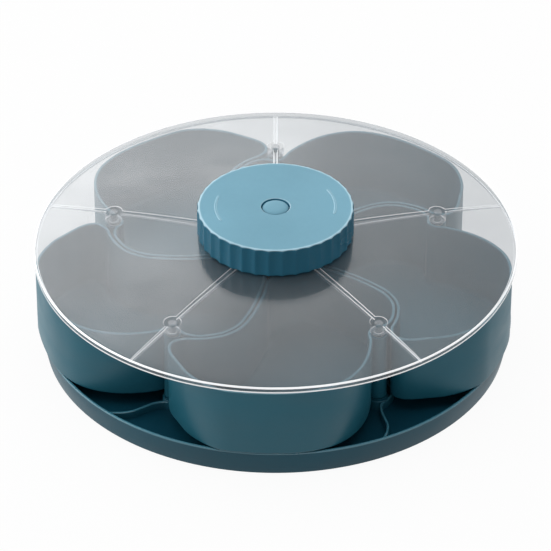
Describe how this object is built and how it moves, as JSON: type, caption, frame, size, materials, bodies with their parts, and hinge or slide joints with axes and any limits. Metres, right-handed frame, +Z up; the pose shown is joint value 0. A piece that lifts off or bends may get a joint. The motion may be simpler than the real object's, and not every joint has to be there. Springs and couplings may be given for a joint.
{
  "type": "rotating chip and dip server",
  "caption": "Round covered chip and dip server: comma-shaped bowls swing out over a divided tray when the fluted knob on the clear ribbed lid is turned.",
  "frame": {"origin": "on the table, under the middle of the round tray", "axes": "+Z up along the knob's axis, -Y towards the front bowl, +X to the right"},
  "size_m": [0.3, 0.3, 0.0992],
  "materials": {
    "bowl_plastic": "satin slate teal",
    "tray_plastic": "satin dark teal",
    "clear_plastic": "clear polished",
    "knob_plastic": "satin steel blue",
    "gear_plastic": "natural moulded",
    "rubber": "matt",
    "steel": "plain zinc"
  },
  "bodies": {
    "base": {"base_tray": "tray_plastic", "bottom_cover": "tray_plastic", "cover_screw_front": "steel", "cover_screw_right": "steel", "cover_screw_back_right": "steel", "cover_screw_back_left": "steel", "cover_screw_left": "steel", "foot_front": "rubber", "foot_right": "rubber", "foot_back_right": "rubber", "foot_back_left": "rubber", "foot_left": "rubber", "pivot_post_front": "tray_plastic", "pivot_post_right": "tray_plastic", "pivot_post_back_right": "tray_plastic", "pivot_post_back_left": "tray_plastic", "pivot_post_left": "tray_plastic", "pivot_washer_front": "tray_plastic", "pivot_washer_right": "tray_plastic", "pivot_washer_back_right": "tray_plastic", "pivot_washer_back_left": "tray_plastic", "pivot_washer_left": "tray_plastic", "petal_clip_front": "tray_plastic", "petal_clip_right": "tray_plastic", "petal_clip_back_right": "tray_plastic", "petal_clip_back_left": "tray_plastic", "petal_clip_left": "tray_plastic"},
    "front_bowl": {"petal_front": "bowl_plastic", "pinion_front": "gear_plastic"},
    "right_bowl": {"petal_right": "bowl_plastic", "pinion_right": "gear_plastic"},
    "back_right_bowl": {"petal_back_right": "bowl_plastic", "pinion_back_right": "gear_plastic"},
    "back_left_bowl": {"petal_back_left": "bowl_plastic", "pinion_back_left": "gear_plastic"},
    "left_bowl": {"petal_left": "bowl_plastic", "pinion_left": "gear_plastic"},
    "drive": {"sun_gear": "gear_plastic", "drive_spindle": "gear_plastic"},
    "lid": {"lid": "clear_plastic", "lid_bushing": "gear_plastic"},
    "knob": {"knob_grip": "knob_plastic", "knob_stem": "knob_plastic", "knob_screw_1": "steel", "knob_screw_2": "steel", "knob_screw_3": "steel", "stem_clip": "steel"},
    "button": {"knob_button": "knob_plastic", "button_spring": "steel"}
  },
  "joints": [
    {"name": "front_bowl_swing", "type": "hinge", "parent": "base", "child": "front_bowl", "pos_m": [0.0626, -0.08616, 0.02], "axis": [0, 0, 1], "range_deg": [0, 90]},
    {"name": "right_bowl_swing", "type": "hinge", "parent": "base", "child": "right_bowl", "pos_m": [0.10129, 0.03291, 0.02], "axis": [0, 0, 1], "range_deg": [0, 90]},
    {"name": "back_right_bowl_swing", "type": "hinge", "parent": "base", "child": "back_right_bowl", "pos_m": [0, 0.1065, 0.02], "axis": [0, 0, 1], "range_deg": [0, 90]},
    {"name": "back_left_bowl_swing", "type": "hinge", "parent": "base", "child": "back_left_bowl", "pos_m": [-0.10129, 0.03291, 0.02], "axis": [0, 0, 1], "range_deg": [0, 90]},
    {"name": "left_bowl_swing", "type": "hinge", "parent": "base", "child": "left_bowl", "pos_m": [-0.0626, -0.08616, 0.02], "axis": [0, 0, 1], "range_deg": [0, 90]},
    {"name": "drive_turn", "type": "hinge", "parent": "base", "child": "drive", "pos_m": [0, 0, 0.006], "axis": [0, 0, 1], "range_deg": [-37.8, 0]},
    {"name": "lid_lift", "type": "slide", "parent": "base", "child": "lid", "axis": [0, 0, 1], "range_m": [0, 0.08]},
    {"name": "knob_turn", "type": "hinge", "parent": "lid", "child": "knob", "pos_m": [0, 0, 0.09], "axis": [0, 0, 1], "range_deg": [-37.8, 0]},
    {"name": "button_press", "type": "slide", "parent": "knob", "child": "button", "axis": [0, 0, 1], "range_m": [-0.0025, 0], "stiffness_N_per_m": 400, "springref_m": 0.001, "deforming": ["button_spring"]}
  ],
  "couplings": [
    {"joint": "right_bowl_swing", "follows": "front_bowl_swing", "ratio": 1},
    {"joint": "back_right_bowl_swing", "follows": "front_bowl_swing", "ratio": 1},
    {"joint": "back_left_bowl_swing", "follows": "front_bowl_swing", "ratio": 1},
    {"joint": "left_bowl_swing", "follows": "front_bowl_swing", "ratio": 1},
    {"joint": "drive_turn", "follows": "front_bowl_swing", "ratio": -0.42},
    {"joint": "knob_turn", "follows": "front_bowl_swing", "ratio": -0.42}
  ]
}
